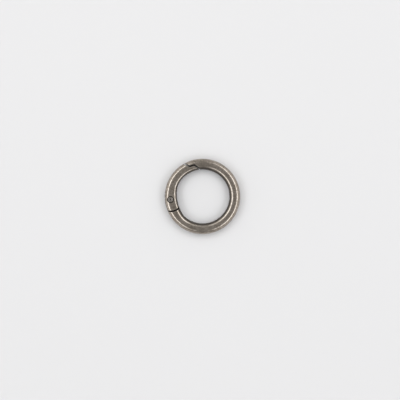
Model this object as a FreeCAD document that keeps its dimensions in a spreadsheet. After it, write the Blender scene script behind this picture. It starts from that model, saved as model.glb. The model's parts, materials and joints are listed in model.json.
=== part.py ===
import FreeCAD, Part
import math
import os

import Sketcher
from FreeCAD import Vector

# Spring-gate ring: a cast C-shaped body closed by a curved gate. The gate turns inwards on a
# rivet, and a spring inside it pushes a plunger against a cam on the body's hinge tongue.
#
# Object frame: origin at the ring's centre in its middle plane, +Z along the ring's axis.
# Hinge frame, in which every piece is drawn: origin at the rivet, X away from the ring's
# centre, Y along the band towards the gate's tail, so the gate's nose lies towards -Y.

# Driving dimensions in millimetres, and bearings in degrees from +X.
DRIVING_SIZES = {
    "opening_diameter": 25.0,    # clear hole through the ring
    "band_width": 5.0,           # across the band, from the hole to the outside
    "ring_thickness": 4.5,       # along the ring's axis
    "gate_relief": 0.05,         # how far each face of the gate lies below the body's
    "body_rounding": 2.2,        # long edges of the body
    "gate_outer_rounding": 2.1,  # long outer edges of the gate
    "gate_inner_rounding": 1.5,  # long inner edges of the gate
    "hinge_bearing": 185.8,      # where the rivet sits
    "pivot_inset": 0.15,         # rivet's centre inwards of the band's middle
    "swell_height": 0.7,         # how far the hinge swells into the hole
    "swell_shift": 5.4,          # offset of the swell's arc, which sets the swell's length
    "swell_turn": 7.2,           # middle of the swell past the rivet, towards the tail
    "swell_blend": 8.0,          # rounding where the swell runs out
    "nose_bearing": 108.0,       # middle of the stepped joint at the nose
    "nose_short": 1.22,          # outer half of the nose ends this much before that middle
    "nose_long": 0.45,           # inner half of the nose ends this much past it
    "step_outer": 0.77,          # side of the step from the middle, at its short end
    "step_inner": -0.60,         # and at its long end
    "joint_gap": 0.45,           # open seam between gate and body at the nose and the tail
    "tail_radius": 5.22,         # round tail of the gate, about the rivet
    "tongue_thickness": 1.8,     # body's hinge tongue between the gate's two cheeks
    "tongue_clearance": 0.08,    # between the tongue and each cheek
    "tongue_end_radius": 1.9,    # round outer corner at the tongue's end
    "cam_radius": 2.25,          # round cam on the tongue
    "cam_lever": 1.3,            # cam's centre, and the plunger's line, from the rivet
    "cam_lead": 15.0,            # half the gate's swing: the cam's centre starts this far back
    "slot_clearance": 0.15,      # between the tongue's sweep and the end of the gate's slot
    "shank_diameter": 2.0,       # rivet between its heads
    "pin_clearance": 0.05,       # radial running fit of the rivet in the tongue
    "head_overhang": 0.2,        # rivet's heads past the shank, all round
    "head_edge": 0.12,           # chamfer around each head
    "head_sink": 0.05,           # top of each head below the gate's face
    "recess_gap": 0.35,          # round recess in the gate past each head, all round
    "recess_depth": 0.45,
    "dimple_diameter": 0.9,      # setting mark in each head
    "dimple_depth": 0.3,
    "plunger_diameter": 1.7,
    "plunger_clearance": 0.05,   # radial running fit of the plunger in its bore
    "plunger_dome": 1.2,         # radius of the plunger's round tip
    "plunger_contact": 0.01,     # between the plunger's tip and the cam
    "plunger_head": 4.3,         # back of the plunger's head, from the rivet
    "stem_clearance": 0.1,       # between the plunger's tail and the inside of the spring
    "stem_stop": 0.7,            # the tail's travel before it meets the end of the bore
    "bore_depth": 8.4,           # end of the spring's bore, from the rivet
    "wire_diameter": 0.35,
    "coil_clearance": 0.075,     # between the spring and its bore
    "spring_turns": 8.0,
    "spring_slack": 0.01,        # spring's ends to what they press on
}

doc = FreeCAD.newDocument("spring_gate_ring")

sizes = doc.addObject("Spreadsheet::Sheet", "sizes")
for row, (word, value) in enumerate(DRIVING_SIZES.items(), start=1):
    sizes.set(f"A{row}", word)
    sizes.set(f"B{row}", str(value))
    sizes.setAlias(f"B{row}", word)
doc.recompute()

# Sizes worked out from the driving ones, each bound to the sheet.
WORKED_OUT_SIZES = {
    "inner_radius": "sizes.opening_diameter / 2",
    "outer_radius": "sizes.opening_diameter / 2 + sizes.band_width",
    "middle_radius": "sizes.opening_diameter / 2 + sizes.band_width / 2",
    "pivot_radius": "layout.middle_radius - sizes.pivot_inset",
    "gate_thickness": "sizes.ring_thickness - 2 * sizes.gate_relief",
    # The swell's arc has its centre across the ring from the swell.
    "swell_radius": "layout.inner_radius - sizes.swell_height + sizes.swell_shift",
    "swell_x": "-layout.pivot_radius - sizes.swell_shift * cos(sizes.swell_turn)",
    "swell_y": "-sizes.swell_shift * sin(sizes.swell_turn)",
    # Where the swell's arc crosses the hole, as an angle at the ring's centre.
    "swell_half_angle": "acos(1 - sizes.swell_height * (2 * layout.inner_radius"
                        " + 2 * sizes.swell_shift - sizes.swell_height)"
                        " / (2 * layout.inner_radius * sizes.swell_shift))",
    # The middle of the nose, seen from the rivet, and the unit direction to it.
    "nose_turn": "sizes.nose_bearing - sizes.hinge_bearing",
    "nose_x": "layout.middle_radius * cos(layout.nose_turn) - layout.pivot_radius",
    "nose_y": "layout.middle_radius * sin(layout.nose_turn)",
    "nose_distance": "hypot(layout.nose_x; layout.nose_y)",
    "along_x": "layout.nose_x / layout.nose_distance",
    "along_y": "layout.nose_y / layout.nose_distance",
    "short_reach": "layout.nose_distance - sizes.nose_short",
    "long_reach": "layout.nose_distance + sizes.nose_long",
    # The step's two faces are parallel and a gap apart, so the body's is shifted sideways.
    "step_slope": "(sizes.step_outer - sizes.step_inner)"
                  " / (layout.long_reach - layout.short_reach)",
    "step_shift": "sizes.joint_gap * (sqrt(1 + layout.step_slope ^ 2) - layout.step_slope)",
    "socket_radius": "sizes.tail_radius + sizes.joint_gap",
    # A plan line that runs well outside the ring, half way between the nose and the rivet.
    "clear_reach": "1.6 * layout.outer_radius",
    # The tongue's round end stands flush with the outside of the ring.
    "tongue_end_x": "layout.outer_radius - layout.pivot_radius - sizes.tongue_end_radius",
    "slot_outer_radius": "layout.outer_radius - layout.pivot_radius + sizes.slot_clearance",
    "slot_cam_radius": "sizes.cam_lever + sizes.cam_radius + sizes.slot_clearance",
    "cam_x": "-sizes.cam_lever * cos(sizes.cam_lead)",
    "cam_y": "sizes.cam_lever * sin(sizes.cam_lead)",
    "shank_radius": "sizes.shank_diameter / 2",
    "pin_hole_radius": "layout.shank_radius + sizes.pin_clearance",
    "head_radius": "layout.shank_radius + sizes.head_overhang",
    "recess_radius": "layout.head_radius + sizes.recess_gap",
    "bore_radius": "sizes.plunger_diameter / 2 + sizes.plunger_clearance",
    "coil_radius": "layout.bore_radius - sizes.coil_clearance - sizes.wire_diameter / 2",
    "stem_radius": "layout.coil_radius - sizes.wire_diameter / 2 - sizes.stem_clearance",
    "plunger_tip": "sizes.cam_radius - layout.cam_y + sizes.plunger_contact",
}

layout = doc.addObject("App::VarSet", "layout")
for word, formula in WORKED_OUT_SIZES.items():
    layout.addProperty("App::PropertyFloat", word, "Layout")
    layout.setExpression(word, formula)
    doc.recompute()


def number(formula):
    """The value that a formula has now."""
    return float(layout.evalExpression(str(formula)))


def origin_plane(body, role):
    return next(item for item in body.Origin.OriginFeatures if item.Role == role)


def new_body(name, across="0", quarter_turn=0):
    """A body drawn in the hinge frame, moved across the band, and turned so that its own Z
    points along the band to the nose where quarter_turn is 90."""
    body = doc.addObject("PartDesign::Body", name)
    body.Label = name
    distance = f"(layout.pivot_radius + ({across}))"
    body.setExpression(
        "Placement",
        f"placement(vector({distance} * cos(sizes.hinge_bearing);"
        f" {distance} * sin(sizes.hinge_bearing); 0);"
        f" rotation(vector(0; 0; 1); sizes.hinge_bearing)"
        f" * rotation(vector(1; 0; 0); {quarter_turn}))")
    return body


def new_sketch(body, name, plane="XY_Plane", lift=None):
    sketch = body.newObject("Sketcher::SketchObject", f"{body.Name}_{name}")
    sketch.AttachmentSupport = [(origin_plane(body, plane), "")]
    sketch.MapMode = "FlatFace"
    if lift is not None:
        sketch.setExpression("AttachmentOffset.Base.z", lift)
    return sketch


def hold(sketch, word, kind, formula, *where):
    """Adds a constraint and binds its value to a formula."""
    index = sketch.addConstraint(Sketcher.Constraint(kind, *where, number(formula)))
    sketch.renameConstraint(index, word)
    sketch.setExpression(f"Constraints.{word}", formula)


def pin(sketch, word, geometry, vertex, x, y, held="xy"):
    """Holds one vertex at a place measured from the sketch's origin."""
    if held == "xy" and (x, y) == ("0", "0"):
        sketch.addConstraint(Sketcher.Constraint("Coincident", geometry, vertex, -1, 1))
        return
    if "x" in held:
        hold(sketch, f"{word}_across", "DistanceX", x, -1, 1, geometry, vertex)
    if "y" in held:
        hold(sketch, f"{word}_along", "DistanceY", y, -1, 1, geometry, vertex)


def circle(sketch, word, x, y, radius):
    middle = Vector(number(x), number(y), 0)
    ring = Part.Circle(middle, Vector(0, 0, 1), number(radius))
    index = sketch.addGeometry(ring, False)
    pin(sketch, word, index, 3, x, y)
    hold(sketch, f"{word}_radius", "Radius", radius, index)


def line_to_next(x, y, held="xy"):
    """A corner, with a straight line from it to the next corner."""
    return x, y, held, None


def arc_to_next(x, y, held, centre_x, centre_y, radius, turn):
    """A corner, with an arc from it to the next corner, turning left or right."""
    return x, y, held, (centre_x, centre_y, radius, turn)


def outline(sketch, corners):
    """Draws a closed outline through named corners. A corner on one arc is held in one
    direction only, and a corner between two arcs in none, because the arcs place it."""
    words = list(corners)
    places = {word: Vector(number(corners[word][0]), number(corners[word][1]), 0)
              for word in words}
    pieces = []
    for word, next_word in zip(words, words[1:] + words[:1]):
        here, there = places[word], places[next_word]
        bend = corners[word][3]
        if bend is None:
            index = sketch.addGeometry(Part.LineSegment(here, there), False)
            pieces.append((index, 1, 2))
            continue
        centre_x, centre_y, radius, turn = bend
        middle = Vector(number(centre_x), number(centre_y), 0)
        first, last = (here, there) if turn == "left" else (there, here)
        angles = [math.atan2(end.y - middle.y, end.x - middle.x) for end in (first, last)]
        ring = Part.Circle(middle, Vector(0, 0, 1), number(radius))
        index = sketch.addGeometry(Part.ArcOfCircle(ring, *angles), False)
        pieces.append((index, 1, 2) if turn == "left" else (index, 2, 1))
        pin(sketch, f"{word}_centre", index, 3, centre_x, centre_y)
        hold(sketch, f"{word}_radius", "Radius", radius, index)
    for piece, next_piece in zip(pieces, pieces[1:] + pieces[:1]):
        sketch.addConstraint(
            Sketcher.Constraint("Coincident", piece[0], piece[2], next_piece[0], next_piece[1]))
    for word, piece in zip(words, pieces):
        x, y, held, _ = corners[word]
        pin(sketch, word, piece[0], piece[1], x, y, held)


def pad(body, sketch, name, length):
    feature = body.newObject("PartDesign::Pad", f"{body.Name}_{name}")
    feature.Profile = sketch
    feature.SideType = "Symmetric"
    feature.setExpression("Length", length)
    doc.recompute()
    return feature


def check_cut(body, feature, before):
    """Stops the build if a cut took nothing away."""
    doc.recompute()
    if feature.Shape.Volume > before - 1e-4:
        raise RuntimeError(f"{feature.Name} cuts nothing")
    body.Tip = feature
    return feature


def cut_through(body, sketch, name):
    """Cuts the sketch's shape through the whole thickness."""
    before = body.Shape.Volume
    feature = body.newObject("PartDesign::Pocket", f"{body.Name}_{name}")
    feature.Profile = sketch
    feature.SideType = "Symmetric"
    feature.Type = "ThroughAll"
    return check_cut(body, feature, before)


def cut_layer(body, sketch, name, length, symmetric=False, reverse=False):
    """Cuts a layer of the given depth from the sketch's plane."""
    before = body.Shape.Volume
    feature = body.newObject("PartDesign::Pocket", f"{body.Name}_{name}")
    feature.Profile = sketch
    if symmetric:
        feature.SideType = "Symmetric"
    feature.Reversed = reverse
    feature.setExpression("Length", length)
    return check_cut(body, feature, before)


def repeat_below(body, feature, name):
    """The same cut, mirrored to the other face."""
    before = body.Shape.Volume
    mirror = body.newObject("PartDesign::Mirrored", f"{body.Name}_{name}")
    mirror.Originals = [feature]
    mirror.MirrorPlane = (origin_plane(body, "XY_Plane"), [""])
    return check_cut(body, mirror, before)


def round_edges(body, name, radius, wanted):
    """Rounds the edges of the body's last feature that the test picks."""
    base = body.Tip
    names = [f"Edge{index}" for index, edge in enumerate(base.Shape.Edges, start=1)
             if wanted(edge)]
    feature = body.newObject("PartDesign::Fillet", f"{body.Name}_{name}")
    feature.Base = (base, names)
    feature.setExpression("Radius", radius)
    doc.recompute()
    body.Tip = feature
    return feature


def distance_from_ring_centre(point):
    return math.hypot(point.x + number("layout.pivot_radius"), point.y)


def is_outer(edge):
    middle = edge.valueAt((edge.FirstParameter + edge.LastParameter) / 2)
    return distance_from_ring_centre(middle) > number("layout.middle_radius")


def is_upright(edge):
    box = edge.BoundBox
    return box.ZLength > 1e-3 and max(box.XLength, box.YLength) < 1e-6


def is_rim(edge):
    box = edge.BoundBox
    return box.ZLength < 1e-6 and abs(box.ZMin) > 1e-3


def make_band(body, thickness, outer_rounding, inner_rounding):
    """The whole ring with its swell at the hinge, before it is parted."""
    plan = new_sketch(body, "band_plan")
    circle(plan, "outside", "-layout.pivot_radius", "0", "layout.outer_radius")
    crossing = {side: (f"-layout.pivot_radius + layout.inner_radius * cos(sizes.swell_turn"
                       f" {side} layout.swell_half_angle)",
                       f"layout.inner_radius * sin(sizes.swell_turn"
                       f" {side} layout.swell_half_angle)")
                for side in "+-"}
    outline(plan, {
        "hole": arc_to_next(*crossing["+"], "", "-layout.pivot_radius", "0",
                            "layout.inner_radius", "left"),
        "swell": arc_to_next(*crossing["-"], "", "layout.swell_x", "layout.swell_y",
                             "layout.swell_radius", "left"),
    })
    body.Tip = pad(body, plan, "band", thickness)
    round_edges(body, "swell_ends", "sizes.swell_blend",
                lambda edge: is_upright(edge) and not is_outer(edge))
    limit = f"0.49 * ({thickness}); 0.49 * sizes.band_width"
    round_edges(body, "outer_rims", f"min({outer_rounding}; {limit})",
                lambda edge: is_rim(edge) and is_outer(edge))
    round_edges(body, "inner_rims", f"min({inner_rounding}; {limit})",
                lambda edge: is_rim(edge) and not is_outer(edge)
                and distance_from_ring_centre(edge.valueAt(edge.FirstParameter))
                < number("layout.inner_radius") + 1e-3)


def nose_point(reach, side):
    """A point at a distance from the rivet, and to one side of the line to the nose."""
    along = f"sqrt(({reach}) ^ 2 - ({side}) ^ 2)"
    return (f"{along} * layout.along_x - ({side}) * layout.along_y",
            f"{along} * layout.along_y + ({side}) * layout.along_x")


def nose_corners(spare, shift):
    """From the hole, over the stepped nose, to a line that runs well outside the ring.
    The nose's two arcs are centred on the rivet, so the gate swings clear."""
    long_reach = f"(layout.long_reach + {spare})"
    short_reach = f"(layout.short_reach + {spare})"
    half_way = "((sizes.nose_bearing - sizes.hinge_bearing) / 2)"
    return {
        "nose_in_hole": arc_to_next(*nose_point(long_reach, "-1.1 * sizes.band_width"), "y",
                                    "0", "0", long_reach, "left"),
        "step_long_end": line_to_next(*nose_point(long_reach, f"sizes.step_inner + {shift}"),
                                      "y"),
        "step_short_end": arc_to_next(*nose_point(short_reach, f"sizes.step_outer + {shift}"),
                                      "y", "0", "0", short_reach, "left"),
        "nose_outside": line_to_next(*nose_point(short_reach, "sizes.band_width"), "y"),
        "clear_outside": line_to_next(
            f"layout.clear_reach * cos{half_way} - layout.pivot_radius",
            f"layout.clear_reach * sin{half_way}"),
    }


def gate_plan(sketch, spare, shift):
    """The gate's ends in plan: round tail, and stepped nose."""
    tail = f"(sizes.tail_radius + {spare})"
    outline(sketch, {
        "tail_outside": arc_to_next(tail, "0", "y", "0", "0", tail, "left"),
        "tail_in_hole": line_to_next(f"-{tail}", "0", "y"),
        **nose_corners(spare, shift),
    })


def mouth_plan(sketch, spare, shift):
    """The gap in the body, less the hinge tongue. The tongue keeps the band's own outer and
    inner sides, has a round outer corner, and bears on the plunger with its round cam."""
    outline(sketch, {
        "mouth_outside": line_to_next("layout.clear_reach - layout.pivot_radius", "0", "xy"),
        "tongue_side": arc_to_next("layout.tongue_end_x + sizes.tongue_end_radius", "0", "y",
                                   "layout.tongue_end_x", "0", "sizes.tongue_end_radius",
                                   "right"),
        "tongue_end": line_to_next("layout.tongue_end_x", "-sizes.tongue_end_radius", "x"),
        "cam_start": arc_to_next("layout.cam_x", "layout.cam_y - sizes.cam_radius", "x",
                                 "layout.cam_x", "layout.cam_y", "sizes.cam_radius", "right"),
        "cam_in_hole": line_to_next("layout.cam_x - sizes.cam_radius", "layout.cam_y", "y"),
        **nose_corners(spare, shift),
    })


def make_ring_body():
    body = new_body("ring_body")
    make_band(body, "sizes.ring_thickness", "sizes.body_rounding", "sizes.body_rounding")
    mouth = new_sketch(body, "mouth_plan")
    mouth_plan(mouth, "sizes.joint_gap", "layout.step_shift")
    cut_through(body, mouth, "mouth")
    seat = new_sketch(body, "cheek_seat_plan", lift="sizes.tongue_thickness / 2")
    gate_plan(seat, "sizes.joint_gap", "layout.step_shift")
    upper = cut_layer(body, seat, "upper_cheek_seat", "sizes.ring_thickness", reverse=True)
    repeat_below(body, upper, "lower_cheek_seat")
    pin_hole = new_sketch(body, "pin_hole_plan")
    circle(pin_hole, "hole", "0", "0", "layout.pin_hole_radius")
    cut_through(body, pin_hole, "pin_hole")
    return body


def make_gate():
    body = new_body("gate")
    make_band(body, "layout.gate_thickness", "sizes.gate_outer_rounding",
              "sizes.gate_inner_rounding")
    ends = new_sketch(body, "ends_plan")
    circle(ends, "all_round", "-layout.pivot_radius", "0", "2 * layout.clear_reach")
    gate_plan(ends, "0", "0")
    cut_through(body, ends, "ends")

    slot = new_sketch(body, "tongue_slot_plan")
    side = "1.2 * layout.socket_radius"
    outline(slot, {
        "side_outside": line_to_next(side, "0"),
        "end_outside": line_to_next(side, side),
        "end_in_hole": line_to_next(f"-{side}", side),
        "side_in_hole": line_to_next(f"-{side}", "0"),
        "cam_root_start": arc_to_next("-layout.slot_cam_radius", "0", "y", "0", "0",
                                      "layout.slot_cam_radius", "left"),
        "cam_root_end": line_to_next("0", "-layout.slot_cam_radius", "x"),
        "end_root_start": arc_to_next("0", "-layout.slot_outer_radius", "x", "0", "0",
                                      "layout.slot_outer_radius", "left"),
        "end_root_end": line_to_next("layout.slot_outer_radius", "0", "y"),
    })
    cut_layer(body, slot, "tongue_slot", "sizes.tongue_thickness + 2 * sizes.tongue_clearance",
              symmetric=True)

    pin_hole = new_sketch(body, "pin_hole_plan")
    circle(pin_hole, "hole", "0", "0", "layout.shank_radius")
    cut_through(body, pin_hole, "pin_hole")

    recess = new_sketch(body, "rivet_recess_plan", lift="layout.gate_thickness / 2")
    circle(recess, "recess", "0", "0", "layout.recess_radius")
    upper = cut_layer(body, recess, "upper_recess", "sizes.recess_depth")
    repeat_below(body, upper, "lower_recess")

    bore = new_sketch(body, "spring_bore_plan", plane="XZ_Plane")
    circle(bore, "bore", "-sizes.cam_lever", "0", "layout.bore_radius")
    cut_layer(body, bore, "spring_bore", "sizes.bore_depth", reverse=True)
    return body


def revolve(body, sketch, name):
    feature = body.newObject("PartDesign::Revolution", f"{body.Name}_{name}")
    feature.Profile = sketch
    feature.ReferenceAxis = (sketch, ["V_Axis"])
    feature.Angle = 360
    doc.recompute()
    body.Tip = feature


def make_pivot_rivet():
    """Shank, and a set head in each recess."""
    body = new_body("pivot_rivet")
    top = "(layout.gate_thickness / 2 - sizes.head_sink)"
    under = "(layout.gate_thickness / 2 - sizes.recess_depth)"
    half = [
        ("dimple_floor", "0", f"{top} - sizes.dimple_depth"),
        ("dimple_foot", "sizes.dimple_diameter / 6", f"{top} - sizes.dimple_depth"),
        ("dimple_rim", "sizes.dimple_diameter / 2", top),
        ("head_top", "layout.head_radius - sizes.head_edge", top),
        ("head_side", "layout.head_radius", f"{top} - sizes.head_edge"),
        ("head_under", "layout.head_radius", under),
        ("shank_end", "layout.shank_radius", under),
    ]
    profile = new_sketch(body, "profile", plane="XZ_Plane")
    outline(profile, {
        **{f"upper_{word}": line_to_next(x, y) for word, x, y in half},
        **{f"lower_{word}": line_to_next(x, f"-({y})") for word, x, y in reversed(half)},
    })
    revolve(body, profile, "turned")
    return body


def make_spring_plunger():
    """Round-tipped head in the bore, and a thin tail inside the spring."""
    body = new_body("spring_plunger", across="-sizes.cam_lever", quarter_turn=90)
    head = "(sizes.plunger_diameter / 2)"
    stem = "layout.stem_radius"
    stem_end = "sizes.bore_depth - sizes.stem_stop"
    centre = "(layout.plunger_tip + sizes.plunger_dome)"
    profile = new_sketch(body, "profile", plane="XZ_Plane")
    outline(profile, {
        "tip": arc_to_next("0", "layout.plunger_tip", "x", "0", centre,
                           "sizes.plunger_dome", "left"),
        "shoulder": line_to_next(head, f"{centre} - sqrt(sizes.plunger_dome ^ 2 - {head} ^ 2)",
                                 "x"),
        "head_back": line_to_next(head, "sizes.plunger_head"),
        "stem_start": line_to_next(stem, "sizes.plunger_head"),
        "stem_side_end": line_to_next(stem, stem_end),
        "stem_end": line_to_next("0", stem_end),
    })
    revolve(body, profile, "turned")
    return body


def make_gate_spring():
    """Compression spring between the plunger's head and the end of the bore."""
    body = new_body("gate_spring", across="-sizes.cam_lever", quarter_turn=90)
    wire = new_sketch(body, "wire_section", plane="XZ_Plane")
    circle(wire, "wire", "layout.coil_radius",
           "sizes.plunger_head + sizes.wire_diameter / 2 + sizes.spring_slack",
           "sizes.wire_diameter / 2")
    helix = body.newObject("PartDesign::AdditiveHelix", "gate_spring_coil")
    helix.Profile = wire
    helix.ReferenceAxis = (wire, ["V_Axis"])
    helix.Mode = "height-turns-angle"
    helix.setExpression("Height", "sizes.bore_depth - sizes.plunger_head"
                        " - sizes.wire_diameter - 2 * sizes.spring_slack")
    helix.setExpression("Turns", "sizes.spring_turns")
    helix.Angle = 0
    helix.Growth = 0
    doc.recompute()
    body.Tip = helix
    return body


pieces = [make_ring_body(), make_gate(), make_pivot_rivet(), make_spring_plunger(),
          make_gate_spring()]
doc.recompute()

failed = [item.Name for item in doc.Objects
          if "Invalid" in item.State or "Error" in item.State]
if failed:
    raise RuntimeError(f"these did not build: {failed}")
for piece in pieces:
    if piece.Shape.isNull() or not piece.Shape.isValid() or not piece.Shape.Solids:
        raise RuntimeError(f"{piece.Label} is not a valid solid")

os.makedirs("parts", exist_ok=True)
for piece in pieces:
    piece.Shape.exportStep(f"parts/{piece.Label}.step")
    box = piece.Shape.BoundBox
    print(f"{piece.Label}: {len(piece.Shape.Solids)} solid, {piece.Shape.Volume:.2f} mm3,"
          f" x {box.XMin:.2f} to {box.XMax:.2f}, y {box.YMin:.2f} to {box.YMax:.2f},"
          f" z {box.ZMin:.2f} to {box.ZMax:.2f}")
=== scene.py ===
import math

import bmesh
import bpy
import numpy as np
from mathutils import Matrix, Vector
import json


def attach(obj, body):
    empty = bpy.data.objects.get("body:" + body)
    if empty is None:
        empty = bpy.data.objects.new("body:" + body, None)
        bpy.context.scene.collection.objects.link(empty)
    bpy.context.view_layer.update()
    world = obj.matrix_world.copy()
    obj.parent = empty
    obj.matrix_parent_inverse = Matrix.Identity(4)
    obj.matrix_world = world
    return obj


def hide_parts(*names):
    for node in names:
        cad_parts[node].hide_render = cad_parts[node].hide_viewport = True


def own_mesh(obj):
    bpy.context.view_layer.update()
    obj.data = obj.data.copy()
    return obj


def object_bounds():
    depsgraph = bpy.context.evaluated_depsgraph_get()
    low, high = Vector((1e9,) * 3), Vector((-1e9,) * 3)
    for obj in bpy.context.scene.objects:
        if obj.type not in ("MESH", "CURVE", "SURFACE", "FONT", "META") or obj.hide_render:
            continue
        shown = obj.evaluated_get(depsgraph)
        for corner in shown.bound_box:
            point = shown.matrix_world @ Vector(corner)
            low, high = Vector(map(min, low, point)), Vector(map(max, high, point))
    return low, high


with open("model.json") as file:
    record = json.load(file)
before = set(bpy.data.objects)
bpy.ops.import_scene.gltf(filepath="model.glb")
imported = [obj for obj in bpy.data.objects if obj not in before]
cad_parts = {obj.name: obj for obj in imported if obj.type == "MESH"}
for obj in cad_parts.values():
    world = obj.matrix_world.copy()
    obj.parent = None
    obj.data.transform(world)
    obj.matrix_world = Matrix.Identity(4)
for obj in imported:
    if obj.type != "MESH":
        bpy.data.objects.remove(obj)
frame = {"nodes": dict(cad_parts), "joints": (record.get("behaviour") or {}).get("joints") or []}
cadLow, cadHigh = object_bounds()
print("packed ring loaded:", ", ".join(sorted(frame["nodes"])))

# Lengths below are millimetres and turns are radians. Pieces are worked out with the ring's
# centre at the origin and the rivet on +X, then toFrame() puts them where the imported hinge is.
mm = 0.001
farAway = 99.0                          # stands for a distance too long to matter
joints = {joint["name"]: joint for joint in frame["joints"]}
pivotX, pivotY = joints["gate_pivot"]["pos_m"][0] / mm, joints["gate_pivot"]["pos_m"][1] / mm
pivotReach = math.hypot(pivotX, pivotY)
hingeTurn = math.atan2(pivotY, pivotX)

ringBand = {
    "hole": 12.5,
    "outside": cadHigh.x / mm,
    "swellDepth": 0.7,                  # how far the hinge swells into the hole
    "swellShift": 5.4,
    "swellTurn": math.radians(7.2),
    "swellBlend": 8.0,
    "noseTurn": math.radians(108.0) - hingeTurn,
    "noseShort": 1.22,                  # outer half of the gate's nose ends this much early
    "noseLong": 0.45,                   # inner half this much late
    "stepOuter": 0.77,
    "stepInner": -0.60,
    "seam": 0.45,                       # open joint at the nose and the tail
    "tail": 5.22,
    "cornerRounding": 0.22,
    "paintedInnerShade": 0.79,                 # painted shade: how much darker and duller the flank towards the hole is
    "noseReach": 6.0,                   # the nose's line matters only this close to its middle
}


def toFrame(points):
    # a turn about Z by the hinge's bearing, then millimetres to metres
    c, s = math.cos(hingeTurn), math.sin(hingeTurn)
    x, y, z = points[..., 0], points[..., 1], points[..., 2]
    return np.stack([x * c - y * s, x * s + y * c, z], axis=-1) * mm


def swellShape():
    # The swell is a flatter arc centred across the ring. A small circle inside both the hole
    # and that arc rounds the corner between them.
    b = ringBand
    arc = b["hole"] - b["swellDepth"] + b["swellShift"]
    toHole, toArc = b["hole"] - b["swellBlend"], arc - b["swellBlend"]
    x = (toArc ** 2 - toHole ** 2 - b["swellShift"] ** 2) / (2 * b["swellShift"])
    y = math.sqrt(toHole ** 2 - x ** 2)
    arcTurn = math.atan2(y, x + b["swellShift"])
    return {
        "arc": arc, "x": x, "y": y, "arcTurn": arcTurn, "holeTurn": math.atan2(y, x),
        "edgeTurn": math.atan2(arc * math.sin(arcTurn),
                               arc * math.cos(arcTurn) - b["swellShift"]),
    }


swell = swellShape()


def holeEdge(turn):
    # distance from the ring's centre to the hole's edge along a ray: where the ray leaves the
    # hole's circle, the blend circle or the swell's arc
    b = ringBand
    off = np.abs((turn - b["swellTurn"] + math.pi) % (2 * math.pi) - math.pi)
    along = swell["x"] * np.cos(off) + swell["y"] * np.sin(off)
    onBlend = along + np.sqrt(
        b["swellBlend"] ** 2 - swell["x"] ** 2 - swell["y"] ** 2 + along ** 2)
    onArc = -b["swellShift"] * np.cos(off) + np.sqrt(
        swell["arc"] ** 2 - (b["swellShift"] * np.sin(off)) ** 2)
    inner = np.where(off > swell["edgeTurn"], onBlend, onArc)
    return np.where(off > swell["holeTurn"], b["hole"], inner)


def depthFromHole(x, y):
    # how far a point lies from the hole's edge, square to it
    b = ringBand
    c, s = math.cos(b["swellTurn"]), math.sin(b["swellTurn"])
    along, across = x * c + y * s, np.abs(y * c - x * s)
    fromHole = np.hypot(along, across) - b["hole"]
    fromArc = np.hypot(along + b["swellShift"], across) - swell["arc"]
    fromBlend = np.hypot(along - swell["x"], across - swell["y"]) - b["swellBlend"]
    way = np.arctan2(across - swell["y"], along - swell["x"])
    blended = (way > swell["arcTurn"]) & (way < swell["holeTurn"])
    return np.where(blended, fromBlend, np.maximum(fromHole, fromArc))


def bandHeight(x, y, piece):
    # the band's section: a quarter circle up from each edge and flat between them
    half = piece["thickness"] / 2
    inner, outer = piece["roundIn"], piece["roundOut"]
    outward = ringBand["outside"] - np.hypot(x, y)
    missIn = np.clip(inner - depthFromHole(x, y), 0, inner)
    missOut = np.clip(outer - outward, 0, outer)
    return half - np.maximum(inner - np.sqrt(inner ** 2 - missIn ** 2),
                             outer - np.sqrt(outer ** 2 - missOut ** 2))


def columnDepths(piece):
    # even steps round both quarter circles, and close ones in the middle for the nose's step
    width = ringBand["outside"] - ringBand["hole"]
    bend = np.radians(np.concatenate([np.linspace(0, 22.72, 4), np.linspace(28, 90, 12)]))
    inner = piece["roundIn"] * (1 - np.cos(bend))
    outer = width - piece["roundOut"] * (1 - np.cos(bend))
    middle = np.linspace(1.5, 3.5, 21)
    depths = np.unique(np.round(np.concatenate([inner, outer, middle]), 4))
    return depths[np.concatenate([[True], np.diff(depths) > 0.012])]


def columnReach(depths, turn, piece):
    # distance of each column from the ring's centre; a wider band stretches only its middle
    width = ringBand["outside"] - ringBand["hole"]
    flat = width - piece["roundIn"] - piece["roundOut"]
    share = np.clip((depths - piece["roundIn"]) / flat, 0, 1)
    edge = holeEdge(turn)
    return edge + depths + share * (ringBand["outside"] - edge - width)


def tailTurns(depths, piece, radius):
    # where each column meets a circle about the rivet, by the rule of cosines; the band's
    # width depends on the turn, so a few rounds settle it
    turns = np.full(depths.shape, radius / pivotReach)
    for _ in range(8):
        reach = columnReach(depths, turns, piece)
        turns = np.arccos((reach ** 2 + pivotReach ** 2 - radius ** 2)
                          / (2 * reach * pivotReach))
    return turns


def noseLine(spare, shift):
    # the stepped end in plan, from the hole to the outside: an arc about the rivet, a slanted
    # step, and a shorter arc, evenly spaced and with its corners rounded by averaging
    b = ringBand
    middle = (b["hole"] + b["outside"]) / 2
    noseX = middle * math.cos(b["noseTurn"]) - pivotReach
    noseY = middle * math.sin(b["noseTurn"])
    far = math.hypot(noseX, noseY)
    alongX, alongY = noseX / far, noseY / far
    long, short = far + b["noseLong"] + spare, far - b["noseShort"] + spare
    foot, top = b["stepInner"] + shift, b["stepOuter"] + shift
    sideLong, sideShort = np.linspace(-5, foot, 400), np.linspace(top, 5, 400)
    side = np.concatenate([sideLong, sideShort])
    along = np.concatenate([np.sqrt(long ** 2 - sideLong ** 2),
                            np.sqrt(short ** 2 - sideShort ** 2)])
    x = along * alongX - side * alongY + pivotReach
    y = along * alongY + side * alongX
    run = np.concatenate([[0], np.cumsum(np.hypot(np.diff(x), np.diff(y)))])
    step = 0.02
    even = np.arange(0, run[-1], step)
    spread = max(3, int(b["cornerRounding"] / step) | 1)
    kernel = np.ones(spread) / spread
    x, y = (np.convolve(np.interp(even, run, values), kernel, "valid") for values in (x, y))
    return x, y


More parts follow.
